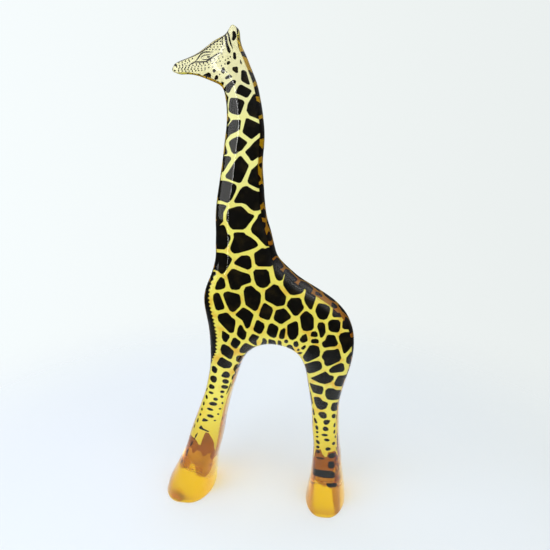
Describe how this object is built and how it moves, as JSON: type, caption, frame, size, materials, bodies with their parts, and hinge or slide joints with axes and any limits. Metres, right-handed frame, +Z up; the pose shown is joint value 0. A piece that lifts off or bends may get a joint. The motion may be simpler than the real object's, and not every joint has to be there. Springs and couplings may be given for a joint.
{
  "type": "giraffe figure",
  "caption": "Tall slender cast resin giraffe with an amber core, printed reticulated coat under clear covers, and flared feet that stand on a flat surface.",
  "frame": {"origin": "centre of the bounding box's bottom, on the surface the feet stand on", "axes": "+Z up along the height; -X the way the head points; +Y across the thickness, with the mirror plane at Y = 0"},
  "size_m": [0.2244, 0.0832, 0.5295],
  "materials": {
    "amber_resin": "polished clear amber casting resin",
    "clear_resin": "polished clear casting resin",
    "yellow_ink": "opaque print",
    "brown_tint": "translucent brown print",
    "clear_film": "clear film",
    "black_ink": "opaque print"
  },
  "bodies": {
    "root": {"amber_core": "amber_resin", "left_cover": "clear_resin", "right_cover": "clear_resin", "left_ground": "yellow_ink", "left_foot_tint": "brown_tint", "left_foot_film": "clear_film", "right_ground": "yellow_ink", "right_foot_tint": "brown_tint", "right_foot_film": "clear_film", "left_head_marks": "black_ink", "left_neck_patches": "black_ink", "left_body_patches": "black_ink", "left_fore_leg_marks": "black_ink", "left_hind_leg_marks": "black_ink", "right_head_marks": "black_ink", "right_neck_patches": "black_ink", "right_body_patches": "black_ink", "right_fore_leg_marks": "black_ink", "right_hind_leg_marks": "black_ink"}
  },
  "joints": []
}
